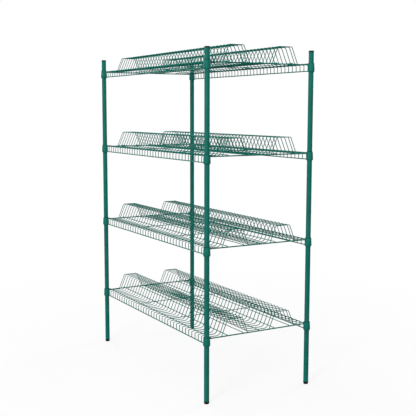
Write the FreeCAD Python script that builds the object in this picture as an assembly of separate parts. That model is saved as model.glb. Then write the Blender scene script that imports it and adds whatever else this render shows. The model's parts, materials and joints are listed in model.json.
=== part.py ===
import FreeCAD
import Part
import math
import os

# Four-tier wire shelving unit with ridged decks, in millimetres.
# Z is up, X runs along the shelves and the front faces -Y. The origin is on the floor, under the middle.

# Whole unit
post_spacing_x = 1188.0  # between post axes, along the shelf
post_spacing_y = 578.0  # between post axes, front to back
shelf_count = 4
groove_pitch = 25.0  # index grooves on the posts, which set where a shelf can hang
shelf_step_count = 17  # grooves from one shelf to the next

# Posts
post_length = 1638.4
post_reach = 53.0  # post above the top shelf's collars
post_diameter = 25.0
post_wall = 1.2

# Post caps
cap_overhang = 0.6  # cap edge beyond the post
cap_rim = 6.0
cap_crown = 1.5  # height of the sloping top
cap_crown_inset = 2.5
cap_plug_length = 14.0

# Levelling feet
pad_height = 8.0
pad_waist = 0.4  # the pad's top is this much smaller all round than its foot
pad_chamfer = 2.5
stem_diameter = 10.0
stem_engagement = 34.0  # stem inside the insert and the post
foot_gap = 0.4  # pad to insert, screwed right in
insert_flange = 1.6
insert_length = 26.0
stem_clearance = 0.3
plug_clearance = 0.1  # caps and inserts inside the post tube

# Split sleeves and shelf collars
fitted_sides = 8  # flats on the sleeves, collars, inserts and stems
round_sides = 12  # flats on the caps and pads
sleeve_wall_top = 1.2
sleeve_wall_bottom = 2.4
sleeve_reach = 2.0  # sleeve showing above the collar
sleeve_kerf = 0.8  # slit between the two halves
sleeve_clearance = 0.05  # sleeve on the post
collar_height = 41.0
collar_wall_top = 1.4
collar_wall_bottom = 1.6
collar_chamfer = 4.0  # height of the turned-in lower edge
collar_lip = 0.5  # wall left at that edge
collar_clearance = 0.3  # collar bore over the sleeve's taper

# Shelf rails
side_rail_diameter = 6.0
edge_rail_diameter = 5.0
rail_sides = 6
deck_drop = 4.75  # collar top to the plane where wires and stringers meet
edge_rail_rise = 4.4  # collar bottom to the edge rail's axis
edge_inset = 2.8  # edge rail's axis inside the line of the posts

# Deck wires
wire_diameter = 3.7
wire_pitch = 31.8
ridge_offset = 135.0  # ridge middle from the shelf's middle
ridge_base = 146.0
ridge_top = 79.5
ridge_height = 80.0
outer_stringer_inset = 18.0  # outermost stringer from the edge rail
stringer_steps = 3  # stringers on each side of the middle one
tie_wire = 6  # a tie lies beside this wire, counted from the middle
tie_gap = 0.5
collar_side_gap = 2.0  # last cross wire from the collar

# Derived places
AXIS_X = FreeCAD.Vector(1, 0, 0)
AXIS_Y = FreeCAD.Vector(0, 1, 0)
AXIS_Z = FreeCAD.Vector(0, 0, 1)
post_radius = post_diameter / 2
post_bore = post_radius - post_wall
post_bottom = pad_height + foot_gap + insert_flange
post_top = post_bottom + post_length
shelf_spacing = groove_pitch * shelf_step_count
top_level = post_top - post_reach - collar_height  # bottom edge of the top shelf's collars
shelf_levels = [top_level - shelf_spacing * step for step in reversed(range(shelf_count))]
corner_x = post_spacing_x / 2
corner_y = post_spacing_y / 2
CORNERS = {
    "front_left": (-corner_x, -corner_y),
    "front_right": (corner_x, -corner_y),
    "back_left": (-corner_x, corner_y),
    "back_right": (corner_x, corner_y),
}

sleeve_bore = post_radius + sleeve_clearance
collar_bore_bottom = sleeve_bore + sleeve_wall_bottom + collar_clearance
collar_bore_top = sleeve_bore + sleeve_wall_top + collar_clearance
collar_bottom_radius = collar_bore_bottom + collar_wall_bottom
collar_top_radius = collar_bore_top + collar_wall_top

# A wire is drawn as a three-sided bar with the section area of the round wire, flat side up or outward.
wire_face = wire_diameter * math.sqrt(math.pi / math.sqrt(3))
wire_flat = wire_face / (2 * math.sqrt(3))  # centre of the section to its flat side
WIRE_SECTION = [(-wire_face / 2, wire_flat), (wire_face / 2, wire_flat), (0, -2 * wire_flat)]
STRINGER_SECTION = [(s, -n) for s, n in WIRE_SECTION]

# Heights above a shelf's collar bottoms
deck_plane = collar_height - deck_drop
wire_axis = deck_plane - wire_flat
stringer_axis = deck_plane + wire_flat
side_rail_axis = deck_plane - side_rail_diameter / 2
edge_rail_top = edge_rail_rise + edge_rail_diameter / 2

edge_y = corner_y - edge_inset
outer_stringer_y = edge_y - outer_stringer_inset
tie_x = tie_wire * wire_pitch - wire_face - tie_gap
last_wire_x = corner_x - collar_bottom_radius - collar_side_gap - wire_face / 2
wires_each_side = int(last_wire_x // wire_pitch)


def flat_face(points):
    """Flat face inside a closed run of points."""
    return Part.Face(Part.makePolygon(points + points[:1]))


def solid_from_rings(rings):
    """Closed solid with flat sides through rings of points, one after another."""
    faces = [flat_face(rings[0]), flat_face(rings[-1])]
    for near, far in zip(rings, rings[1:]):
        for here in range(len(near)):
            there = (here + 1) % len(near)
            faces.append(flat_face([near[here], near[there], far[there], far[here]]))
    shell = Part.makeShell(faces)
    shell.sewShape()
    solid = Part.makeSolid(shell)
    if solid.Volume < 0:
        solid.reverse()
    return solid


def swept_bar(path, section, side):
    """Bar whose section follows a path in one plane, mitred at the corners.

    side is the plane's normal. Section points are offsets along side and along the path's own normal.
    """
    runs = [(end - start).normalize() for start, end in zip(path, path[1:])]
    normals = [side.cross(run) for run in runs]
    rings = []
    for index, point in enumerate(path):
        before = normals[max(index - 1, 0)]
        after = normals[min(index, len(normals) - 1)]
        mitre = (before + after) * (1 / (1 + before.dot(after)))
        rings.append([point + side * along + mitre * out for along, out in section])
    return solid_from_rings(rings)


def rail_section(diameter):
    """Section of a rail, flat on top, measured across its flats."""
    corner = diameter / 2 / math.cos(math.pi / rail_sides)
    angles = [2 * math.pi * step / rail_sides for step in range(rail_sides)]
    return [(corner * math.cos(angle), corner * math.sin(angle)) for angle in angles]


def turned(profile, sides=fitted_sides):
    """Small turned solid about Z from radii, measured to the flats, and heights."""
    step = 2 * math.pi / sides
    rings = []
    for radius, height in profile:
        corner = radius / math.cos(step / 2)
        angles = [step * (side + 0.5) for side in range(sides)]
        rings.append(
            [FreeCAD.Vector(corner * math.cos(angle), corner * math.sin(angle), height) for angle in angles]
        )
    return solid_from_rings(rings)


def moved(shape, x=0, y=0, z=0):
    """Copy of a shape at another place."""
    copy = shape.copy()
    copy.translate(FreeCAD.Vector(x, y, z))
    return copy


def at_corners(shape, z=0):
    """One copy of a shape on each post axis."""
    return [moved(shape, x, y, z) for x, y in CORNERS.values()]


def post():
    """Tube from the insert's flange to the cap."""
    tube = Part.makeCylinder(post_radius, post_length).cut(Part.makeCylinder(post_bore, post_length))
    return moved(tube, z=post_bottom)


def post_cap():
    """Cap with a rim over the post's end and a plug inside it."""
    rim = post_radius + cap_overhang
    plug = (post_bore - plug_clearance) * math.cos(math.pi / round_sides)
    top = post_top + cap_rim
    head = turned([(rim, post_top), (rim, top), (rim - cap_crown_inset, top + cap_crown)], round_sides)
    return head.fuse(turned([(plug, post_top - cap_plug_length), (plug, post_top)], round_sides))


def foot_insert():
    """Bored plug in the post's lower end, with a flange against the tube."""
    plug = (post_bore - plug_clearance) * math.cos(math.pi / fitted_sides)
    flange = post_radius * math.cos(math.pi / fitted_sides)
    bottom = post_bottom - insert_flange
    top = post_bottom + insert_length
    body = turned([(flange, bottom), (flange, post_bottom)]).fuse(turned([(plug, post_bottom), (plug, top)]))
    bore = stem_diameter / 2 + stem_clearance
    return body.cut(turned([(bore, bottom), (bore, top)]))


def foot_stem():
    """Stem of a levelling foot, from the pad up into the post."""
    radius = stem_diameter / 2
    top = post_bottom + stem_engagement
    return turned([(radius, pad_height), (radius, top)])


def foot_pad():
    """Moulded pad, a little narrower at the top, with a chamfered tread."""
    tread = post_radius - pad_chamfer
    waist = post_radius - pad_waist
    return turned([(tread, 0), (post_radius, pad_chamfer), (waist, pad_height)], round_sides)


def sleeve_halves():
    """Two halves of a tapered sleeve about a post, slit along X, standing on a shelf's level."""
    top = collar_height + sleeve_reach
    taper = (sleeve_wall_bottom - sleeve_wall_top) / collar_height
    outer = turned(
        [
            (sleeve_bore + sleeve_wall_bottom, 0),
            (sleeve_bore + sleeve_wall_bottom - taper * top, top),
        ]
    )
    ring = outer.cut(turned([(sleeve_bore, 0), (sleeve_bore, top)]))
    reach = sleeve_bore + 2 * sleeve_wall_bottom
    halves = []
    for turn in (0, 180):
        keep = Part.makeBox(2 * reach, reach, top, FreeCAD.Vector(-reach, sleeve_kerf / 2, 0))
        keep.rotate(FreeCAD.Vector(0, 0, 0), AXIS_Z, turn)
        halves.append(ring.common(keep))
    return halves


def collar_outside():
    """Outside of a collar, filled, standing on a shelf's level."""
    return turned(
        [
            (collar_bore_bottom + collar_lip, 0),
            (collar_bottom_radius, collar_chamfer),
            (collar_top_radius, collar_height),
        ]
    )


def collar():
    """Tapered collar with its tapered bore."""
    return collar_outside().cut(turned([(collar_bore_bottom, 0), (collar_bore_top, collar_height)]))


def coped(rail):
    """Rail with its ends shaped to the collars that it meets."""
    for outside in at_corners(collar_outside()):
        rail = rail.cut(outside)
    return rail


def side_rails():
    """Thick wires across the shelf's two ends."""
    section = rail_section(side_rail_diameter)
    rails = []
    for x in (-corner_x, corner_x):
        path = [FreeCAD.Vector(x, y, side_rail_axis) for y in (-corner_y, corner_y)]
        rails.append(coped(swept_bar(path, section, AXIS_X)))
    return rails


def edge_rails():
    """Low rails along the front and the back edge."""
    section = rail_section(edge_rail_diameter)
    rails = []
    for y in (-edge_y, edge_y):
        path = [FreeCAD.Vector(x, y, edge_rail_rise) for x in (-corner_x, corner_x)]
        rails.append(coped(swept_bar(path, section, -AXIS_Y)))
    return rails


def stringers():
    """Evenly spaced wires along the shelf, lying on the side rails, the ties and the formed wires."""
    reach = corner_x + side_rail_diameter / 2
    spacing = outer_stringer_y / stringer_steps
    bars = []
    for step in range(-stringer_steps, stringer_steps + 1):
        path = [FreeCAD.Vector(x, step * spacing, stringer_axis) for x in (-reach, reach)]
        bars.append(swept_bar(path, STRINGER_SECTION, -AXIS_Y))
    return bars


def cross_ties():
    """Straight wires under the stringers, which carry those that run inside the ridges."""
    reach = outer_stringer_y + wire_face / 2
    bars = []
    for x in (-tie_x, tie_x):
        path = [FreeCAD.Vector(x, y, wire_axis) for y in (-reach, reach)]
        bars.append(swept_bar(path, WIRE_SECTION, AXIS_X))
    return bars


def ridge_outline(middle):
    """Corners of one ridge, front to back, as depth and height."""
    top = wire_axis + ridge_height
    return [
        (middle - ridge_base / 2, wire_axis),
        (middle - ridge_top / 2, top),
        (middle + ridge_top / 2, top),
        (middle + ridge_base / 2, wire_axis),
    ]


def formed_wires():
    """Cross wires bent down to the edge rails and up over both ridges."""
    outline = [(-edge_y, edge_rail_top), (-edge_y, wire_axis)]
    outline += ridge_outline(-ridge_offset) + ridge_outline(ridge_offset)
    outline += [(edge_y, wire_axis), (edge_y, edge_rail_top)]
    wire = swept_bar([FreeCAD.Vector(0, y, z) for y, z in outline], WIRE_SECTION, AXIS_X)
    return [moved(wire, x=count * wire_pitch) for count in range(-wires_each_side, wires_each_side + 1)]


def end_arches():
    """Arches that stand on the side rails and close the ridges' ends."""
    below = Part.makeBox(
        2 * post_spacing_x, 2 * post_spacing_y, deck_plane, FreeCAD.Vector(-post_spacing_x, -post_spacing_y, 0)
    )
    arches = []
    for x in (-corner_x, corner_x):
        for middle in (-ridge_offset, ridge_offset):
            path = [FreeCAD.Vector(x, y, z) for y, z in ridge_outline(middle)]
            arches.append(swept_bar(path, WIRE_SECTION, AXIS_X).cut(below))
    return arches


def save(name, solids):
    """Write one named node as a group of separate solids."""
    shape = solids[0] if len(solids) == 1 else Part.makeCompound(solids)
    shape.exportStep("parts/" + name + ".step")


def build_frame():
    """Posts with their caps, inserts, feet and sleeves."""
    for corner, (x, y) in CORNERS.items():
        save("post_" + corner, [moved(post(), x, y)])
        save("post_cap_" + corner, [moved(post_cap(), x, y)])
        save("foot_insert_" + corner, [moved(foot_insert(), x, y)])
        save("foot_stem_" + corner, [moved(foot_stem(), x, y)])
        save("foot_pad_" + corner, [moved(foot_pad(), x, y)])
    halves = sleeve_halves()
    for tier, level in enumerate(shelf_levels, start=1):
        save("split_sleeves_" + str(tier), [piece for half in halves for piece in at_corners(half, level)])


def build_shelves():
    """One welded shelf, repeated at each level."""
    shelf = {
        "corner_collars": at_corners(collar()),
        "side_rails": side_rails(),
        "edge_rails": edge_rails(),
        "stringers": stringers(),
        "cross_ties": cross_ties(),
        "formed_wires": formed_wires(),
        "end_arches": end_arches(),
    }
    for tier, level in enumerate(shelf_levels, start=1):
        for piece, solids in shelf.items():
            save("shelf_" + str(tier) + "_" + piece, [moved(solid, z=level) for solid in solids])


os.makedirs("parts", exist_ok=True)
build_frame()
build_shelves()
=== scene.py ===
"""Looks of a four-tier wire shelving unit with ridged decks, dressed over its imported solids.

Sizes are in metres, in the part's own frame: X along the shelves, front towards -Y, Z up from the floor.
"""

import json
import logging
import math
from dataclasses import dataclass
from enum import Enum
from typing import Callable, Sequence

import bmesh
import bpy
from mathutils import Matrix, Vector

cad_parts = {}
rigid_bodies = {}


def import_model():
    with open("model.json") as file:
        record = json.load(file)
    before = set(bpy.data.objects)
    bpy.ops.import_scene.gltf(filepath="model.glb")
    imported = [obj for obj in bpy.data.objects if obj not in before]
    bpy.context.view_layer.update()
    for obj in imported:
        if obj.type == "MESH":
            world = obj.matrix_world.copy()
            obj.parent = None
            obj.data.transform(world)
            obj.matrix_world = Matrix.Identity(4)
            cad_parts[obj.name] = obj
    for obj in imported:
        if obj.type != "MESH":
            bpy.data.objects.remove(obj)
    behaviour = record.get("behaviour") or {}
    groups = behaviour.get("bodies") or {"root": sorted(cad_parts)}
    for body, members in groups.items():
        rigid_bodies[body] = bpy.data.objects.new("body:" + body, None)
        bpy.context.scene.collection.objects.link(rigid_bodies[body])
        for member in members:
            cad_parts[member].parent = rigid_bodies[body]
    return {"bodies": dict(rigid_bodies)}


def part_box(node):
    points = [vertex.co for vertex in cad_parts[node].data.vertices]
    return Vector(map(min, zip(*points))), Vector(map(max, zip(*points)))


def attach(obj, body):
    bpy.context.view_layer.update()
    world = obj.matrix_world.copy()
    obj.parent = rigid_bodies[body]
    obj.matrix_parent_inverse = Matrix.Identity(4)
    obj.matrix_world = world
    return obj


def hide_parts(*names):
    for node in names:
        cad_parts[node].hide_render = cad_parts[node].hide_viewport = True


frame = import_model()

LOG = logging.getLogger("wire_shelving")
NEAR = 1e-5  # places closer than this are the same
WHITE = (1.0, 1.0, 1.0, 1.0)
Point = tuple[float, float, float]
Place = Point | Vector
Shade = tuple[float, float, float]
Copies = list[tuple[str, Vector]]  # label and offset of each copy


class Corner(Enum):
    """A post's corner: its name and its side along X and Y."""

    FRONT_LEFT = ("front_left", -1, -1)
    FRONT_RIGHT = ("front_right", 1, -1)
    BACK_LEFT = ("back_left", -1, 1)
    BACK_RIGHT = ("back_right", 1, 1)

    @property
    def label(self) -> str:
        """Name of the corner, as the solids use it."""
        return self.value[0]

    def place(self, unit: "Unit") -> Vector:
        """Point where this corner's post axis meets the floor."""
        return Vector((self.value[1] * unit.half_width, self.value[2] * unit.half_depth, 0.0))


class Slot(Enum):
    """The record's material slots."""

    EPOXY = "green_epoxy"
    CAP = "cap_plastic"
    SLEEVE = "sleeve_plastic"
    PAD = "pad_plastic"
    ZINC = "zinc_steel"


class Rounding(Enum):
    """Steps in a rounded corner."""

    FINE = 2
    EDGE = 3
    BEND = 4
    WIDE_BEND = 5


@dataclass(frozen=True)
class Unit:
    """Places that the whole unit shares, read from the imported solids."""

    half_width: float
    half_depth: float
    post_radius: float
    post_bottom: float
    post_top: float
    levels: tuple[float, ...]

    @classmethod
    def from_frame(cls) -> "Unit":
        """Measure a post and the shelves' collars.

        Returns:
            The shared places.
        """
        low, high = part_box("post_back_right")
        middle = (low + high) / 2
        shelves = sorted(body for body in frame["bodies"] if body.startswith("shelf_"))
        levels = tuple(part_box(f"{shelf}_corner_collars")[0].z for shelf in shelves)
        return cls(middle.x, middle.y, (high.x - low.x) / 2, low.z, high.z, levels)

    def corners(self) -> Copies:
        """Name and place of each corner."""
        return [(corner.label, corner.place(self)) for corner in Corner]

    def tiers(self) -> Copies:
        """Number and height of each shelf."""
        return [(str(tier), Vector((0, 0, level))) for tier, level in enumerate(self.levels, start=1)]


class NodeSheet:
    """A material under construction, patterned on Object coordinates."""

    NOISE_LOW = 0.30  # nearly all noise values lie between these two
    NOISE_HIGH = 0.70
    COLOUR_OCTAVES = 5.0
    GLOSS_OCTAVES = 3.0
    GRAIN_OCTAVES = 2.0

    def __init__(self, name: str) -> None:
        """Start a material with only its shader.

        Args:
            name: The material's name.
        """
        self.material = bpy.data.materials.new(name)
        self.material.use_nodes = True
        self.nodes = self.material.node_tree.nodes
        self.links = self.material.node_tree.links
        self.shader = self.nodes["Principled BSDF"]
        self.place = self.nodes.new("ShaderNodeTexCoord").outputs["Object"]

    def noise(self, scale: float, detail: float) -> bpy.types.NodeSocket:
        """Add a noise pattern.

        Args:
            scale: Pattern cells per metre.
            detail: Octaves of finer noise.

        Returns:
            The pattern's value socket.
        """
        node = self.nodes.new("ShaderNodeTexNoise")
        node.inputs["Scale"].default_value = scale
        node.inputs["Detail"].default_value = detail
        self.links.new(self.place, node.inputs["Vector"])
        return node.outputs["Fac"]

    def patchy_colour(self, scale: float, deep: Shade, light: Shade) -> None:
        """Let the base colour drift between two near shades.

        Args:
            scale: Patches per metre.
            deep: The darker shade.
            light: The lighter shade.
        """
        ramp = self.nodes.new("ShaderNodeValToRGB")
        ramp.color_ramp.elements[0].position = self.NOISE_LOW
        ramp.color_ramp.elements[0].color = (*deep, 1.0)
        ramp.color_ramp.elements[1].position = self.NOISE_HIGH
        ramp.color_ramp.elements[1].color = (*light, 1.0)
        self.links.new(self.noise(scale, self.COLOUR_OCTAVES), ramp.inputs["Fac"])
        self.links.new(ramp.outputs["Color"], self.shader.inputs["Base Color"])

    def patchy_roughness(self, scale: float, low: float, high: float) -> None:
        """Let the roughness drift between two values.

        Args:
            scale: Patches per metre.
            low: The glossier value.
            high: The duller value.
        """
        spread = self.nodes.new("ShaderNodeMapRange")
        spread.inputs["From Min"].default_value = self.NOISE_LOW
        spread.inputs["From Max"].default_value = self.NOISE_HIGH
        spread.inputs["To Min"].default_value = low
        spread.inputs["To Max"].default_value = high
        self.links.new(self.noise(scale, self.GLOSS_OCTAVES), spread.inputs["Value"])
        self.links.new(spread.outputs["Result"], self.shader.inputs["Roughness"])

    def grain(self, scale: float, strength: float, depth: float) -> None:
        """Add a fine surface grain.

        Args:
            scale: Grains per metre.
            strength: How strongly the grain shows.
            depth: Height of the grain.
        """
        bump = self.nodes.new("ShaderNodeBump")
        bump.inputs["Strength"].default_value = strength
        bump.inputs["Distance"].default_value = depth
        self.links.new(self.noise(scale, self.GRAIN_OCTAVES), bump.inputs["Height"])
        self.links.new(bump.outputs["Normal"], self.shader.inputs["Normal"])


@dataclass(frozen=True)
class Finish:
    """A surface with two near shades, an uneven gloss and a fine grain. Scales count per metre."""

    name: str
    deep: Shade
    light: Shade
    patch_scale: float
    gloss_scale: float
    smoothest: float
    roughest: float
    grain_scale: float
    grain_strength: float
    grain_depth: float
    sheen: float = 0.5
    metal: float = 0.0

    def material(self) -> bpy.types.Material:
        """Make the finish's material.

        Returns:
            The new material.
        """
        made = NodeSheet(self.name)
        made.patchy_colour(self.patch_scale, self.deep, self.light)
        made.patchy_roughness(self.gloss_scale, self.smoothest, self.roughest)
        made.grain(self.grain_scale, self.grain_strength, self.grain_depth)
        made.shader.inputs["Specular IOR Level"].default_value = self.sheen
        made.shader.inputs["Metallic"].default_value = self.metal
        return made.material


@dataclass(frozen=True)
class EpoxyCoat(Finish):
    """Satin epoxy over steel: a fine orange peel and a slightly uneven green."""

    name: str = "green_epoxy_coat"
    deep: Shade = (0.0045, 0.126, 0.098)
    light: Shade = (0.0075, 0.160, 0.126)
    patch_scale: float = 14.0
    gloss_scale: float = 55.0
    smoothest: float = 0.52
    roughest: float = 0.64
    grain_scale: float = 950.0
    grain_strength: float = 0.12
    grain_depth: float = 0.00012
    sheen: float = 0.09


@dataclass(frozen=True)
class BlackMoulding(Finish):
    """Black moulded plastic with a fine spark-eroded grain."""

    name: str = "black_moulding"
    deep: Shade = (0.0045, 0.005, 0.005)
    light: Shade = (0.010, 0.0105, 0.0105)
    patch_scale: float = 60.0
    gloss_scale: float = 240.0
    smoothest: float = 0.48
    roughest: float = 0.62
    grain_scale: float = 2600.0
    grain_strength: float = 0.22
    grain_depth: float = 0.00008
    sheen: float = 0.07


@dataclass(frozen=True)
class CapMoulding(BlackMoulding):
    """The same plastic in the dark green of the post caps."""

    name: str = "cap_moulding"
    deep: Shade = (0.005, 0.026, 0.022)
    light: Shade = (0.009, 0.042, 0.036)
    sheen: float = 0.12


@dataclass(frozen=True)
class ZincPlate(Finish):
    """Bright zinc plating with a faint spangle."""

    name: str = "zinc_plate"
    deep: Shade = (0.50, 0.51, 0.50)
    light: Shade = (0.66, 0.66, 0.64)
    patch_scale: float = 180.0
    gloss_scale: float = 320.0
    smoothest: float = 0.24
    roughest: float = 0.40
    grain_scale: float = 1400.0
    grain_strength: float = 0.08
    grain_depth: float = 0.00006
    metal: float = 1.0


class Piece:
    """A mesh being modelled in edit mode."""

    SEED_SIZE = 0.01  # of the plane that is merged into a point
    BAR_SIDES = 12
    BEAD_SIDES = 8
    BEAD_RINGS = 4
    WIRE_BEVEL = 2  # makes a wire eight-sided

    def __init__(self, name: str) -> None:
        """Take up the primitive that was just added.

        Args:
            name: The piece's name.
        """
        self.object = bpy.context.active_object
        self.object.name = name
        self.edit()
        bpy.ops.mesh.select_all(action="SELECT")

    @classmethod
    def from_point(cls, name: str) -> "Piece":
        """Start from a small plane merged into one vertex at the origin.

        Args:
            name: The piece's name.

        Returns:
            The piece, with its vertex selected.
        """
        bpy.ops.object.select_all(action="DESELECT")
        bpy.ops.mesh.primitive_plane_add(size=cls.SEED_SIZE)
        piece = cls(name)
        bpy.ops.mesh.merge(type="CENTER")
        return piece

    @classmethod
    def from_disc(cls, name: str, radius: float, place: Vector, run: Vector) -> "Piece":
        """Start from a filled disc with few sides.

        Args:
            name: The piece's name.
            radius: The disc's radius.
            place: The disc's middle.
            run: The direction that the disc faces.

        Returns:
            The piece, with the whole disc selected.
        """
        turn = Vector((0, 0, 1)).rotation_difference(run).to_euler()
        bpy.ops.object.select_all(action="DESELECT")
        bpy.ops.mesh.primitive_circle_add(
            vertices=cls.BAR_SIDES, radius=radius, fill_type="NGON", location=place, rotation=turn
        )
        bpy.ops.object.transform_apply(location=True, rotation=True, scale=True)
        return cls(name)

    @classmethod
    def from_ball(cls, name: str, reach: Point, place: Point) -> "Piece":
        """Start from a ball of a few faces, drawn out to three reaches.

        Args:
            name: The piece's name.
            reach: Half of its size along X, Y and Z.
            place: Its middle.

        Returns:
            The piece, with the whole ball selected.
        """
        bpy.ops.object.select_all(action="DESELECT")
        bpy.ops.mesh.primitive_uv_sphere_add(
            segments=cls.BEAD_SIDES, ring_count=cls.BEAD_RINGS, radius=1.0, location=place, scale=reach
        )
        bpy.ops.object.transform_apply(location=True, rotation=True, scale=True)
        return cls(name)

    def edit(self) -> None:
        """Go into edit mode, on vertices."""
        bpy.ops.object.mode_set(mode="EDIT")
        bpy.ops.mesh.select_mode(type="VERT")

    def leave(self) -> None:
        """Go back to object mode."""
        bpy.ops.object.mode_set(mode="OBJECT")

    def pick(self, test: Callable[[Vector], bool]) -> None:
        """Select vertices by their place.

        Args:
            test: Says whether a vertex at a place is wanted.
        """
        bpy.ops.mesh.select_all(action="DESELECT")
        mesh = bmesh.from_edit_mesh(self.object.data)
        for vertex in mesh.verts:
            vertex.select_set(test(vertex.co))
        mesh.select_flush(True)
        bmesh.update_edit_mesh(self.object.data)

    def draw(self, points: Sequence[Place]) -> None:
        """Move the first vertex to its place and extrude it into a line.

        Args:
            points: The line's corners, in order.
        """
        bpy.ops.transform.translate(value=points[0])
        self.run_on(points)

    def run_on(self, points: Sequence[Place]) -> None:
        """Extrude the selected vertex into a line.

        Args:
            points: The vertex's own place and the corners to come.
        """
        for here, there in zip(points, points[1:]):
            step = Vector(there) - Vector(here)
            bpy.ops.mesh.extrude_vertices_move(TRANSFORM_OT_translate={"value": step})

    def round_off(self, reach: float, rounding: Rounding, test: Callable[[Vector], bool]) -> None:
        """Round corners of a drawn line.

        Args:
            reach: How far from the corner the bend starts.
            rounding: How many steps the bend has.
            test: Says which corners, by place.
        """
        self.pick(test)
        bpy.ops.mesh.bevel(
            offset_type="OFFSET", offset=reach, segments=rounding.value, affect="VERTICES"
        )

    def close_line(self) -> None:
        """Join the two ends of a drawn line."""
        mesh = bmesh.from_edit_mesh(self.object.data)
        ends = [vertex.co.copy() for vertex in mesh.verts if len(vertex.link_edges) == 1]
        self.pick(lambda place: any((place - end).length < NEAR for end in ends))
        bpy.ops.mesh.edge_face_add()

    def stretch(self, start: Vector, end: Vector, tip_length: float, tip_size: float) -> None:
        """Draw a selected disc out into a straight bar whose two tips have another size.

        Args:
            start: The disc's middle.
            end: The bar's far end.
            tip_length: Length of each tip.
            tip_size: Size of the end faces against the bar's own section.
        """
        run = (end - start).normalized()
        straight = (end - start).length - 2 * tip_length
        place = start
        for reach, size in ((tip_length, 1 / tip_size), (straight, 1.0), (tip_length, tip_size)):
            place = place + run * reach
            bpy.ops.mesh.extrude_region_move(TRANSFORM_OT_translate={"value": run * reach})
            bpy.ops.transform.resize(value=(size, size, size), center_override=place)
        self.tidy()

    def turn(self, steps: int, degrees: float = 360.0) -> None:
        """Spin the drawn outline about Z and close the seam.

        Args:
            steps: Facets round the piece.
            degrees: How far the outline turns.
        """
        bpy.ops.mesh.select_all(action="SELECT")
        bpy.ops.mesh.spin(steps=steps, angle=math.radians(degrees), center=(0, 0, 0), axis=(0, 0, 1))
        self.tidy()

    def wind(self, turns: int, pitch: float, steps: int) -> None:
        """Wind a closed outline up about Z and fill its two ends.

        Args:
            turns: Whole turns.
            pitch: Rise of one turn.
            steps: Facets in one turn.
        """
        self.leave()
        screw = self.object.modifiers.new("winding", "SCREW")
        screw.screw_offset = pitch
        screw.iterations = turns
        screw.steps = steps
        screw.render_steps = steps
        bpy.ops.object.modifier_apply(modifier=screw.name)
        self.edit()
        self.fill_ends()

    def fill_ends(self) -> None:
        """Close the open ends of a swept outline."""
        bpy.ops.mesh.select_mode(type="EDGE")
        bpy.ops.mesh.select_all(action="DESELECT")
        bpy.ops.mesh.select_non_manifold(extend=False)
        bpy.ops.mesh.edge_face_add()
        bpy.ops.mesh.select_mode(type="VERT")
        self.tidy()

    def tidy(self) -> None:
        """Merge doubles and face everything outwards."""
        bpy.ops.mesh.select_all(action="SELECT")
        bpy.ops.mesh.remove_doubles(threshold=NEAR / 10)
        bpy.ops.mesh.normals_make_consistent(inside=False)

    def repeat(self, count: int, offset: Point, merge: bool = False) -> None:
        """Repeat the mesh in a row.

        Args:
            count: How many there are in all.
            offset: From one to the next.
            merge: Whether neighbours join.
        """
        self.leave()
        row = self.object.modifiers.new("row", "ARRAY")
        row.count = count
        row.use_relative_offset = False
        row.use_constant_offset = True
        row.constant_offset_displace = offset
        row.use_merge_vertices = merge
        row.merge_threshold = NEAR
        bpy.ops.object.modifier_apply(modifier=row.name)
        self.edit()

    def thicken(self, radius: float, flare: float = 1.0) -> None:
        """Make the drawn line a round wire with closed ends.

        Args:
            radius: The wire's radius.
            flare: How much thicker the wire is at its two end points.
        """
        self.leave()
        bpy.ops.object.convert(target="CURVE")
        curve = self.object.data
        curve.dimensions = "3D"
        curve.bevel_depth = radius
        curve.bevel_resolution = self.WIRE_BEVEL
        curve.use_fill_caps = True
        points = curve.splines[0].points
        points[0].radius = flare
        points[-1].radius = flare
        bpy.ops.object.convert(target="MESH")
        self.object = bpy.context.active_object
        self.edit()
        self.tidy()

    def copies(self, offsets: Sequence[Place]) -> None:
        """Copy the whole mesh inside the piece.

        Args:
            offsets: Where each copy goes, from the first one.
        """
        bpy.ops.mesh.select_all(action="SELECT")
        last = Vector((0, 0, 0))
        for offset in offsets:
            step = Vector(offset) - last
            bpy.ops.mesh.duplicate_move(TRANSFORM_OT_translate={"value": step})
            last = Vector(offset)

    def to_corners(self, unit: Unit) -> None:
        """Move the mesh from the Z axis to the first corner, and copy it to the others.

        Args:
            unit: The places that the unit shares.
        """
        first, *others = [place for _, place in unit.corners()]
        bpy.ops.mesh.select_all(action="SELECT")
        bpy.ops.transform.translate(value=first)
        self.copies([place - first for place in others])

    def absorb(self, other: "Piece") -> None:
        """Join another piece's mesh to this one, both in object mode.

        Args:
            other: The piece that is used up.
        """
        bpy.ops.object.select_all(action="DESELECT")
        other.object.select_set(True)
        self.object.select_set(True)
        bpy.context.view_layer.objects.active = self.object
        bpy.ops.object.join()

    def finish(self, material: bpy.types.Material, smooth_degrees: float = 50.0) -> bpy.types.Object:
        """Shade and dress the piece.

        Args:
            material: The piece's material.
            smooth_degrees: Edges sharper than this stay sharp.

        Returns:
            The finished object.
        """
        self.leave()
        bpy.ops.object.select_all(action="DESELECT")
        self.object.select_set(True)
        bpy.ops.object.shade_smooth_by_angle(angle=math.radians(smooth_degrees))
        self.object.data.materials.clear()
        self.object.data.materials.append(material)
        return self.object


def copy_of(source: bpy.types.Object, name: str, offset: Vector) -> bpy.types.Object:
    """Copy a finished piece, with a mesh of its own, to another place.

    Args:
        source: The finished piece.
        name: The copy's name.
        offset: Where the copy goes, from the source.

    Returns:
        The copy.
    """
    copy = source.copy()
    copy.data = source.data.copy()
    copy.name = name
    copy.data.name = name
    copy.data.transform(Matrix.Translation(offset))
    bpy.context.scene.collection.objects.link(copy)
    return copy


def seat(piece: bpy.types.Object, body: str, node: str) -> None:
    """Tie a piece to the solid that it stands for, and report it.

    Args:
        piece: The finished piece.
        body: The body that it moves with.
        node: The solid that it replaces.
    """
    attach(piece, body)
    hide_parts(node)
    LOG.info("%s rides on %s: %d faces", piece.name, body, len(piece.data.polygons))


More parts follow.
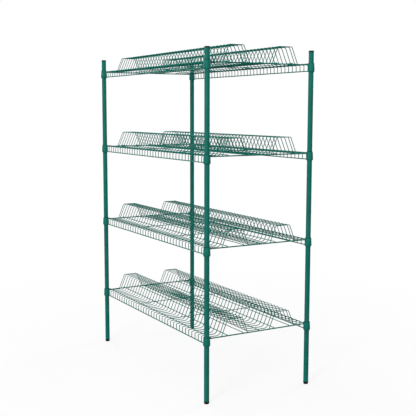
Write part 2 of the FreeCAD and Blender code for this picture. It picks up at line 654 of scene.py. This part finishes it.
def seat_copies(master: bpy.types.Object, places: Copies, node: str, body: str) -> None:
    """Seat a copy of a piece at each place, and use up the first one.

    Args:
        master: The finished piece, modelled once.
        places: Label of each copy, and where it goes from the master.
        node: Name of the solids that the copies replace, with {} for the label.
        body: Name of the bodies that they move with, with {} for the label where they differ.
    """
    for label, offset in places:
        replaced = node.format(label)
        piece = copy_of(master, f"{replaced}_look", offset)
        seat(piece, body.format(label), replaced)
    bpy.data.objects.remove(master)


@dataclass(frozen=True)
class Upright:
    """A grooved post with its cap and the insert in its foot."""

    unit: Unit
    coat: bpy.types.Material
    cap_plastic: bpy.types.Material
    foot_plastic: bpy.types.Material
    wall: float = 0.0012
    plug_clearance: float = 0.0002
    groove_pitch: float = 0.0250
    groove_mouth: float = 0.0016
    groove_root: float = 0.0006
    groove_depth: float = 0.0003
    edge_break: float = 0.0006
    cap_overhang: float = 0.0006
    cap_rim: float = 0.0060
    cap_crown: float = 0.0015
    cap_crown_inset: float = 0.0025
    cap_plug: float = 0.0140
    stem_bore: float = 0.0053
    lip_height: float = 0.0032
    lip_proud: float = 0.00035
    lip_sink: float = 0.0001
    moulded_edge: float = 0.0004
    crown_edge: float = 0.0008
    facets: int = 32

    @property
    def bore(self) -> float:
        """Inner radius of the tube."""
        return self.unit.post_radius - self.wall

    def post(self) -> bpy.types.Object:
        """Model the grooved tube about the Z axis.

        Returns:
            The tube.
        """
        outer = self.unit.post_radius
        root = outer - self.groove_depth
        bottom, top = self.unit.post_bottom, self.unit.post_top
        pitch = self.groove_pitch
        first = self.unit.levels[0] - pitch * int((self.unit.levels[0] - bottom) / pitch)
        count = int((top - first) / pitch)
        last = first + count * pitch
        groove = first + pitch / 2
        piece = Piece.from_point("post_tube")
        piece.draw(
            [
                (outer, 0, first),
                (outer, 0, groove - self.groove_mouth / 2),
                (root, 0, groove - self.groove_root / 2),
                (root, 0, groove + self.groove_root / 2),
                (outer, 0, groove + self.groove_mouth / 2),
                (outer, 0, first + pitch),
            ]
        )
        piece.repeat(count, (0, 0, pitch), merge=True)
        piece.pick(lambda place: place.z > last - NEAR)
        piece.run_on(
            [
                (outer, 0, last),
                (outer, 0, top - self.edge_break),
                (outer - self.edge_break, 0, top),
                (self.bore, 0, top),
                (self.bore, 0, bottom),
                (outer - self.edge_break, 0, bottom),
                (outer, 0, bottom + self.edge_break),
            ]
        )
        piece.close_line()
        piece.turn(self.facets)
        return piece.finish(self.coat, smooth_degrees=30.0)

    def cap(self) -> bpy.types.Object:
        """Model the push-in cap about the Z axis.

        Returns:
            The cap.
        """
        top = self.unit.post_top
        plug = self.bore - self.plug_clearance
        rim = self.unit.post_radius + self.cap_overhang
        shoulder = top + self.cap_rim
        crown = shoulder + self.cap_crown
        piece = Piece.from_point("post_cap")
        piece.draw(
            [
                (0, 0, top - self.cap_plug),
                (plug, 0, top - self.cap_plug),
                (plug, 0, top),
                (rim, 0, top),
                (rim, 0, shoulder),
                (rim - self.cap_crown_inset, 0, crown),
                (0, 0, crown),
            ]
        )
        piece.round_off(
            self.crown_edge, Rounding.EDGE, lambda place: place.x > NEAR and place.z > shoulder - NEAR
        )
        piece.round_off(
            self.moulded_edge, Rounding.FINE, lambda place: place.x > rim - NEAR and place.z < top + NEAR
        )
        piece.turn(self.facets)
        return piece.finish(self.cap_plastic)

    def insert(self) -> bpy.types.Object:
        """Model the bored insert about the Z axis: a plug, a flange and a thin lip round the post's end.

        Returns:
            The insert.
        """
        low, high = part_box("foot_insert_back_right")
        shoulder = self.unit.post_bottom
        lip_top = shoulder + self.lip_height
        plug = self.bore - self.plug_clearance
        rim = self.unit.post_radius + self.lip_proud
        lip_seat = self.unit.post_radius - self.lip_sink
        piece = Piece.from_point("foot_insert")
        piece.draw(
            [
                (self.stem_bore, 0, low.z),
                (rim, 0, low.z),
                (rim, 0, lip_top),
                (lip_seat, 0, lip_top),
                (lip_seat, 0, shoulder),
                (plug, 0, shoulder),
                (plug, 0, high.z),
                (self.stem_bore, 0, high.z),
            ]
        )
        piece.close_line()
        piece.round_off(self.moulded_edge, Rounding.FINE, lambda place: place.x > rim - NEAR)
        piece.turn(self.facets)
        return piece.finish(self.foot_plastic)

    def build(self) -> None:
        """Model one upright and stand a copy on each corner."""
        corners = self.unit.corners()
        seat_copies(self.post(), corners, "post_{}", "frame")
        seat_copies(self.cap(), corners, "post_cap_{}", "frame")
        seat_copies(self.insert(), corners, "foot_insert_{}", "frame")


@dataclass(frozen=True)
class LevellingFoot:
    """A moulded pad on a threaded stem."""

    unit: Unit
    plastic: bpy.types.Material
    zinc: bpy.types.Material
    pad_chamfer: float = 0.0025
    pad_waist: float = 0.0004
    tread_width: float = 0.0020
    tread_recess: float = 0.0006
    pad_rounding: float = 0.0016
    pad_edge: float = 0.0007
    stem_radius: float = 0.0049
    stem_point: float = 0.0010
    thread_pitch: float = 0.0015
    thread_crest: float = 0.0002
    thread_base: float = 0.0014
    thread_depth: float = 0.0008
    thread_sink: float = 0.0001
    facets: int = 32

    def pad(self) -> bpy.types.Object:
        """Model the pad about the Z axis.

        Returns:
            The pad.
        """
        widest = self.unit.post_radius
        tread = widest - self.pad_chamfer
        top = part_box("foot_pad_back_right")[1].z
        piece = Piece.from_point("foot_pad")
        piece.draw(
            [
                (0, 0, self.tread_recess),
                (tread - self.tread_width - self.tread_recess, 0, self.tread_recess),
                (tread - self.tread_width, 0, 0),
                (tread, 0, 0),
                (widest, 0, self.pad_chamfer),
                (widest - self.pad_waist, 0, top),
                (0, 0, top),
            ]
        )
        piece.round_off(self.pad_rounding, Rounding.BEND, lambda place: place.x > widest - NEAR)
        piece.round_off(
            self.pad_edge, Rounding.EDGE, lambda place: place.x > NEAR and place.z > top - NEAR
        )
        piece.turn(self.facets)
        return piece.finish(self.plastic)

    def stem(self) -> bpy.types.Object:
        """Model the stem about the Z axis: a core with a thread wound up it.

        Returns:
            The stem.
        """
        low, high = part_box("foot_stem_back_right")
        root = self.stem_radius - self.thread_depth
        core = Piece.from_point("foot_stem")
        core.draw(
            [
                (0, 0, low.z),
                (root, 0, low.z),
                (root, 0, high.z - self.stem_point),
                (root - self.stem_point, 0, high.z),
                (0, 0, high.z),
            ]
        )
        core.turn(self.facets)
        core.leave()
        core.absorb(self.thread(low.z, high.z - self.stem_point))
        return core.finish(self.zinc, smooth_degrees=25.0)

    def thread(self, low: float, high: float) -> Piece:
        """Wind one sharp ridge up the stem's core.

        Args:
            low: Height where the ridge starts.
            high: Height that it stays under.

        Returns:
            The ridge, in object mode.
        """
        pitch, crest = self.thread_pitch, self.stem_radius
        base = crest - self.thread_depth - self.thread_sink
        middle, half_base, half_crest = low + pitch / 2, self.thread_base / 2, self.thread_crest / 2
        piece = Piece.from_point("stem_thread")
        piece.draw(
            [
                (base, 0, middle - half_base),
                (crest, 0, middle - half_crest),
                (crest, 0, middle + half_crest),
                (base, 0, middle + half_base),
            ]
        )
        piece.close_line()
        piece.wind(int((high - low) / pitch) - 1, pitch, self.facets)
        piece.leave()
        return piece

    def build(self) -> None:
        """Model one foot and set a copy under each post."""
        corners = self.unit.corners()
        seat_copies(self.pad(), corners, "foot_pad_{}", "foot_{}")
        seat_copies(self.stem(), corners, "foot_stem_{}", "foot_{}")


@dataclass(frozen=True)
class SplitSleeve:
    """The two-piece tapered sleeve round each post at each shelf."""

    unit: Unit
    plastic: bpy.types.Material
    clearance: float = 0.00005
    wall_bottom: float = 0.0024
    wall_top: float = 0.00115
    height: float = 0.0430
    kerf_degrees: float = 3.4
    moulded_edge: float = 0.0004
    facets: int = 16

    def build(self) -> None:
        """Model one sleeve, copy it to the corners and then to each shelf."""
        bore = self.unit.post_radius + self.clearance
        piece = Piece.from_point("sleeve_master")
        piece.draw(
            [
                (bore, 0, 0),
                (bore + self.wall_bottom, 0, 0),
                (bore + self.wall_top, 0, self.height),
                (bore, 0, self.height),
            ]
        )
        piece.close_line()
        piece.round_off(self.moulded_edge, Rounding.FINE, lambda place: place.x > bore + NEAR)
        piece.turn(self.facets, 180.0 - self.kerf_degrees)
        piece.fill_ends()
        bpy.ops.mesh.duplicate()
        bpy.ops.transform.rotate(value=math.pi, orient_axis="Z", center_override=(0, 0, 0))
        piece.to_corners(self.unit)
        master = piece.finish(self.plastic)
        seat_copies(master, self.unit.tiers(), "split_sleeves_{}", "frame")


@dataclass(frozen=True)
class Shelf:
    """One welded shelf, in heights above its collars' lower edge.

    weld_flare, cut_end_size, bead_spread, bead_height and foot_seat count in radii of the wire or rail.
    """

    unit: Unit
    coat: bpy.types.Material
    collar_height: float = 0.0410
    collar_bottom: float = 0.0173
    collar_top: float = 0.0156
    collar_bore_bottom: float = 0.01525
    collar_bore_top: float = 0.01405
    collar_lip: float = 0.0005
    collar_turn_in: float = 0.0050
    collar_rounding: float = 0.0014
    collar_edge: float = 0.0004
    collar_facets: int = 36
    deck: float = 0.03625
    side_rail_radius: float = 0.0030
    edge_rail_radius: float = 0.0025
    edge_rail_height: float = 0.0044
    edge_inset: float = 0.0028
    side_rail_embed: float = 0.0010
    edge_rail_embed: float = 0.0015
    wire_radius: float = 0.00185
    wire_pitch: float = 0.0318
    wires_each_side: int = 18
    ridge_offset: float = 0.1350
    ridge_base: float = 0.1460
    ridge_top: float = 0.0795
    ridge_height: float = 0.0800
    ridge_foot_bend: float = 0.0130
    ridge_top_bend: float = 0.0055
    edge_bend: float = 0.0055
    foot_seat: float = 0.8
    weld_length: float = 0.0025
    weld_flare: float = 1.35
    weld_sink: float = 0.0007
    bead_spread: float = 1.15
    bead_height: float = 0.55
    cut_end_length: float = 0.0006
    cut_end_size: float = 0.70
    outer_stringer: float = 0.2682
    stringer_steps: int = 3
    stringers_on_wires: int = 3
    tie_offset: float = 0.1853

    @property
    def edge(self) -> float:
        """Depth of the front and back edge rails from the middle."""
        return self.unit.half_depth - self.edge_inset

    @property
    def floor(self) -> float:
        """Height of the cross wires' centre line between the ridges."""
        return self.deck - self.wire_radius

    @property
    def crest(self) -> float:
        """Height of the cross wires' centre line on the ridges."""
        return self.floor + self.ridge_height

    @property
    def first_wire(self) -> float:
        """Place of the leftmost cross wire along the shelf."""
        return -self.wires_each_side * self.wire_pitch

    @property
    def wire_count(self) -> int:
        """Number of cross wires."""
        return 2 * self.wires_each_side + 1

    @property
    def stringer_count(self) -> int:
        """Number of stringers."""
        return 2 * self.stringer_steps + 1

    def collars(self) -> bpy.types.Object:
        """Model a tapered collar and copy it to the four corners.

        Returns:
            The four collars.
        """
        piece = Piece.from_point("collars_master")
        piece.draw(
            [
                (self.collar_bore_bottom, 0, 0),
                (self.collar_bore_bottom + self.collar_lip, 0, 0),
                (self.collar_bottom, 0, self.collar_turn_in),
                (self.collar_top, 0, self.collar_height),
                (self.collar_bore_top, 0, self.collar_height),
            ]
        )
        piece.close_line()
        piece.round_off(
            self.collar_rounding, Rounding.EDGE, lambda place: place.x > self.collar_bottom - NEAR
        )
        piece.round_off(
            self.collar_edge, Rounding.FINE, lambda place: place.z > self.collar_height - NEAR
        )
        piece.turn(self.collar_facets)
        piece.to_corners(self.unit)
        return piece.finish(self.coat, smooth_degrees=35.0)

    def welded_rail(self, name: str, start: Point, end: Point, radius: float) -> Piece:
        """Model a straight rail whose ends flare into their welds.

        Args:
            name: The piece's name.
            start: One end, inside a collar's wall.
            end: The other end.
            radius: The rail's radius.

        Returns:
            The rail, in edit mode.
        """
        flared = radius * self.weld_flare
        piece = Piece.from_disc(name, flared, Vector(start), Vector(end) - Vector(start))
        piece.stretch(Vector(start), Vector(end), self.weld_length, self.weld_flare)
        return piece

    def straight_wire(self, name: str, start: Point, end: Point) -> Piece:
        """Model a straight wire whose cut ends are rounded off by the coat.

        Args:
            name: The piece's name.
            start: One end.
            end: The other end.

        Returns:
            The wire, in edit mode.
        """
        tip = self.wire_radius * self.cut_end_size
        piece = Piece.from_disc(name, tip, Vector(start), Vector(end) - Vector(start))
        piece.stretch(Vector(start), Vector(end), self.cut_end_length, self.cut_end_size)
        return piece

    def side_rails(self) -> bpy.types.Object:
        """Model the two end rails.

        Returns:
            Both rails.
        """
        side, height = self.unit.half_width, self.deck - self.side_rail_radius
        reach = self.unit.half_depth - self.collar_top + self.side_rail_embed
        start, end = (-side, -reach, height), (-side, reach, height)
        piece = self.welded_rail("side_rails_master", start, end, self.side_rail_radius)
        piece.copies([(2 * side, 0, 0)])
        return piece.finish(self.coat)

    def edge_rails(self) -> bpy.types.Object:
        """Model the low rails of the front and back edges.

        Returns:
            Both rails.
        """
        height = self.edge_rail_height
        reach = self.unit.half_width - self.collar_bottom + self.edge_rail_embed
        start, end = (-reach, -self.edge, height), (reach, -self.edge, height)
        piece = self.welded_rail("edge_rails_master", start, end, self.edge_rail_radius)
        piece.copies([(0, 2 * self.edge, 0)])
        return piece.finish(self.coat)

    def weld_beads(self) -> list[Piece]:
        """Model the coated welds where the stringers cross what carries them.

        Returns:
            The welds on the cross wires, and those on the rails and ties, each in object mode.
        """
        spread = self.bead_spread * self.wire_radius
        reach = (spread, spread, self.bead_height * self.wire_radius)
        front = -self.outer_stringer
        on_wires = Piece.from_ball("wire_welds", reach, (self.first_wire, front, self.deck))
        on_wires.repeat(self.wire_count, (self.wire_pitch, 0, 0))
        on_wires.repeat(self.stringers_on_wires, (0, self.outer_stringer, 0))
        on_wires.leave()
        side, tie = self.unit.half_width, self.tie_offset
        on_rails = Piece.from_ball("rail_welds", reach, (-side, front, self.deck))
        on_rails.repeat(self.stringer_count, (0, self.outer_stringer / self.stringer_steps, 0))
        on_rails.copies([(2 * side, 0, 0), (side - tie, 0, 0), (side + tie, 0, 0)])
        on_rails.leave()
        return [on_wires, on_rails]

    def stringers(self) -> bpy.types.Object:
        """Model one long wire, repeat it across the depth and weld it down.

        Returns:
            All the stringers.
        """
        height = self.deck + self.wire_radius
        reach, side = self.unit.half_width + self.side_rail_radius, self.outer_stringer
        piece = self.straight_wire("stringers_master", (-reach, -side, height), (reach, -side, height))
        piece.repeat(self.stringer_count, (0, side / self.stringer_steps, 0))
        piece.leave()
        for welds in self.weld_beads():
            piece.absorb(welds)
        return piece.finish(self.coat)

    def cross_ties(self) -> bpy.types.Object:
        """Model the two straight ties under the stringers.

        Returns:
            Both ties.
        """
        reach, side = self.outer_stringer + self.wire_radius, self.tie_offset
        start, end = (-side, -reach, self.floor), (-side, reach, self.floor)
        piece = self.straight_wire("cross_ties_master", start, end)
        piece.copies([(2 * side, 0, 0)])
        return piece.finish(self.coat)

    def ridge(self, middle: float, x: float) -> list[Point]:
        """Corners of one ridge's centre line, front to back.

        Args:
            middle: The ridge's place across the depth.
            x: The wire's place along the shelf.

        Returns:
            Four corners.
        """
        return [
            (x, middle - self.ridge_base / 2, self.floor),
            (x, middle - self.ridge_top / 2, self.crest),
            (x, middle + self.ridge_top / 2, self.crest),
            (x, middle + self.ridge_base / 2, self.floor),
        ]

    def formed_wires(self) -> bpy.types.Object:
        """Bend one cross wire over both ridges and repeat it along the shelf.

        Returns:
            All the cross wires.
        """
        first, edge = self.first_wire, self.edge
        foot = self.edge_rail_height + self.foot_seat * self.edge_rail_radius
        weld = foot + self.weld_length
        line = [(first, -edge, foot), (first, -edge, weld), (first, -edge, self.floor)]
        line += self.ridge(-self.ridge_offset, first) + self.ridge(self.ridge_offset, first)
        line += [(first, edge, self.floor), (first, edge, weld), (first, edge, foot)]
        inner, outer = self.ridge_offset - self.ridge_base / 2, self.ridge_offset + self.ridge_base / 2
        piece = Piece.from_point("formed_wires_master")
        piece.draw(line)
        piece.round_off(self.ridge_top_bend, Rounding.BEND, lambda place: place.z > self.crest - NEAR)
        piece.round_off(
            self.edge_bend,
            Rounding.BEND,
            lambda place: abs(place.y) > edge - NEAR and place.z > self.floor - NEAR,
        )
        piece.round_off(
            self.ridge_foot_bend,
            Rounding.WIDE_BEND,
            lambda place: any(abs(abs(place.y) - foot_y) < NEAR for foot_y in (inner, outer)),
        )
        piece.thicken(self.wire_radius, self.weld_flare)
        piece.repeat(self.wire_count, (self.wire_pitch, 0, 0))
        return piece.finish(self.coat)

    def arch_foot(self, foot: Point, top: Point) -> list[Vector]:
        """Lower end of an arch's leg, just inside the side rail, and the upper end of its weld.

        Args:
            foot: Where the ridge's outline meets the deck wires.
            top: The leg's upper end.

        Returns:
            Two points up the leg.
        """
        leg = (Vector(top) - Vector(foot)).normalized()
        start = Vector(foot) + leg * (self.wire_radius - self.weld_sink) / leg.z
        return [start, start + leg * self.weld_length]

    def end_arches(self) -> bpy.types.Object:
        """Bend one end arch and stand a copy over each ridge's ends.

        Returns:
            All the arches.
        """
        side, step = self.unit.half_width, 2 * self.ridge_offset
        front, front_top, back_top, back = self.ridge(-self.ridge_offset, -side)
        line = [*self.arch_foot(front, front_top), front_top, back_top]
        line += reversed(self.arch_foot(back, back_top))
        piece = Piece.from_point("end_arches_master")
        piece.draw(line)
        piece.round_off(self.ridge_top_bend, Rounding.BEND, lambda place: place.z > self.crest - NEAR)
        piece.thicken(self.wire_radius, self.weld_flare)
        piece.copies([(2 * side, 0, 0), (0, step, 0), (2 * side, step, 0)])
        return piece.finish(self.coat)

    def build(self) -> None:
        """Model one shelf and hang a copy at each level."""
        masters = {
            "shelf_{}_corner_collars": self.collars(),
            "shelf_{}_side_rails": self.side_rails(),
            "shelf_{}_edge_rails": self.edge_rails(),
            "shelf_{}_stringers": self.stringers(),
            "shelf_{}_cross_ties": self.cross_ties(),
            "shelf_{}_formed_wires": self.formed_wires(),
            "shelf_{}_end_arches": self.end_arches(),
        }
        for node, master in masters.items():
            seat_copies(master, self.unit.tiers(), node, "shelf_{}")


@dataclass(frozen=True)
class Softbox:
    """A square area lamp that faces the unit."""

    name: str
    place: Point
    size: float
    power: float
    target: Point = (0.0, 0.0, 0.8)

    def build(self) -> None:
        """Hang the lamp."""
        data = bpy.data.lights.new(self.name, "AREA")
        data.size = self.size
        data.energy = self.power
        lamp = bpy.data.objects.new(self.name, data)
        aim = Vector(self.target) - Vector(self.place)
        lamp.location = self.place
        lamp.rotation_euler = aim.to_track_quat("-Z", "Y").to_euler()
        bpy.context.scene.collection.objects.link(lamp)


@dataclass(frozen=True)
class Studio:
    """Pale floor, soft light and the camera."""

    camera_place: Point = (3.75724, -2.11007, 1.37322)
    camera_forward: Point = (-0.86690, 0.48333, -0.12197)
    lens: float = 69.64
    sensor: float = 36.0
    shift_x: float = 0.0291
    shift_y: float = 0.0018
    floor_size: float = 24.0
    floor_shade: float = 0.70
    floor_bounce: float = 0.15
    floor_white_near: float = 0.80
    fade_start: float = 0.9
    fade_end: float = 3.4
    ambient: float = 0.35
    lamps: tuple[Softbox, ...] = (
        Softbox("key_softbox", place=(4.8, -6.5, 4.0), size=1.6, power=535.0),
        Softbox("top_softbox", place=(0.6, -0.6, 6.5), size=3.6, power=150.0),
        Softbox("left_softbox", place=(-8.0, -1.5, 4.0), size=3.0, power=300.0),
        Softbox("back_softbox", place=(-2.0, 8.0, 4.0), size=3.0, power=460.0),
    )

    @staticmethod
    def seen_directly(tree: bpy.types.NodeTree) -> bpy.types.NodeSocket:
        """Add the test for rays that show the backdrop itself.

        Args:
            tree: Where the test's nodes go.

        Returns:
            A socket that is 1 for camera, glossy and transmission rays and 0 for the rest.
        """
        path = tree.nodes.new("ShaderNodeLightPath")
        mirrored = tree.nodes.new("ShaderNodeMath")
        mirrored.operation = "MAXIMUM"
        either = tree.nodes.new("ShaderNodeMath")
        either.operation = "MAXIMUM"
        tree.links.new(path.outputs["Is Glossy Ray"], mirrored.inputs[0])
        tree.links.new(path.outputs["Is Transmission Ray"], mirrored.inputs[1])
        tree.links.new(path.outputs["Is Camera Ray"], either.inputs[0])
        tree.links.new(mirrored.outputs["Value"], either.inputs[1])
        return either.outputs["Value"]

    def floor_material(self) -> bpy.types.Material:
        """Make a pale floor that runs out into the white backdrop.

        Returns:
            The floor's material.
        """
        material = bpy.data.materials.new("pale_floor")
        material.use_nodes = True
        tree = material.node_tree
        tree.nodes.clear()
        place = tree.nodes.new("ShaderNodeTexCoord")
        far = tree.nodes.new("ShaderNodeVectorMath")
        far.operation = "LENGTH"
        fade = tree.nodes.new("ShaderNodeMapRange")
        fade.interpolation_type = "SMOOTHSTEP"
        fade.inputs["From Min"].default_value = self.fade_start
        fade.inputs["From Max"].default_value = self.fade_end
        fade.inputs["To Min"].default_value = self.floor_white_near
        share = tree.nodes.new("ShaderNodeMath")
        share.operation = "MULTIPLY"
        shade = tree.nodes.new("ShaderNodeMapRange")
        shade.inputs["To Min"].default_value = self.floor_bounce
        shade.inputs["To Max"].default_value = self.floor_shade
        paint = tree.nodes.new("ShaderNodeBsdfDiffuse")
        white = tree.nodes.new("ShaderNodeEmission")
        mix = tree.nodes.new("ShaderNodeMixShader")
        out = tree.nodes.new("ShaderNodeOutputMaterial")
        seen = self.seen_directly(tree)
        tree.links.new(place.outputs["Object"], far.inputs[0])
        tree.links.new(far.outputs["Value"], fade.inputs["Value"])
        tree.links.new(fade.outputs["Result"], share.inputs[0])
        tree.links.new(seen, share.inputs[1])
        tree.links.new(seen, shade.inputs["Value"])
        tree.links.new(shade.outputs["Result"], paint.inputs["Color"])
        tree.links.new(share.outputs["Value"], mix.inputs["Fac"])
        tree.links.new(paint.outputs["BSDF"], mix.inputs[1])
        tree.links.new(white.outputs["Emission"], mix.inputs[2])
        tree.links.new(mix.outputs["Shader"], out.inputs["Surface"])
        return material

    def floor(self) -> None:
        """Lay the floor."""
        bpy.ops.object.select_all(action="DESELECT")
        bpy.ops.mesh.primitive_plane_add(size=self.floor_size)
        floor = bpy.context.active_object
        floor.name = "studio_floor"
        floor.data.materials.append(self.floor_material())

    def backdrop(self) -> None:
        """Set a white world that lights the unit evenly."""
        world = bpy.data.worlds.new("studio_world")
        bpy.context.scene.world = world
        world.use_nodes = True
        tree = world.node_tree
        tree.nodes.clear()
        light = tree.nodes.new("ShaderNodeBackground")
        light.inputs["Color"].default_value = WHITE
        light.inputs["Strength"].default_value = self.ambient
        white = tree.nodes.new("ShaderNodeBackground")
        white.inputs["Color"].default_value = WHITE
        mix = tree.nodes.new("ShaderNodeMixShader")
        out = tree.nodes.new("ShaderNodeOutputWorld")
        tree.links.new(self.seen_directly(tree), mix.inputs["Fac"])
        tree.links.new(light.outputs["Background"], mix.inputs[1])
        tree.links.new(white.outputs["Background"], mix.inputs[2])
        tree.links.new(mix.outputs["Shader"], out.inputs["Surface"])

    def camera(self) -> None:
        """Set the camera where the photograph was taken from."""
        data = bpy.data.cameras.new("camera")
        data.lens = self.lens
        data.sensor_width = self.sensor
        data.shift_x = self.shift_x
        data.shift_y = self.shift_y
        camera = bpy.data.objects.new("camera", data)
        camera.location = self.camera_place
        camera.rotation_euler = Vector(self.camera_forward).to_track_quat("-Z", "Y").to_euler()
        bpy.context.scene.collection.objects.link(camera)
        bpy.context.scene.camera = camera

    def build(self) -> None:
        """Set up the floor, the light and the camera."""
        bpy.context.scene.view_settings.view_transform = "Standard"
        self.floor()
        self.backdrop()
        for lamp in self.lamps:
            lamp.build()
        self.camera()


def main() -> None:
    """Build every piece in order."""
    logging.basicConfig(level=logging.INFO, format="%(name)s: %(message)s")
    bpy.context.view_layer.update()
    unit = Unit.from_frame()
    coat = EpoxyCoat().material()
    zinc = ZincPlate().material()
    black = BlackMoulding().material()
    cap_green = CapMoulding().material()
    Upright(unit, coat, cap_plastic=cap_green, foot_plastic=black).build()
    LevellingFoot(unit, black, zinc).build()
    SplitSleeve(unit, black).build()
    Shelf(unit, coat).build()
    Studio().build()


if __name__ == "__main__":
    main()
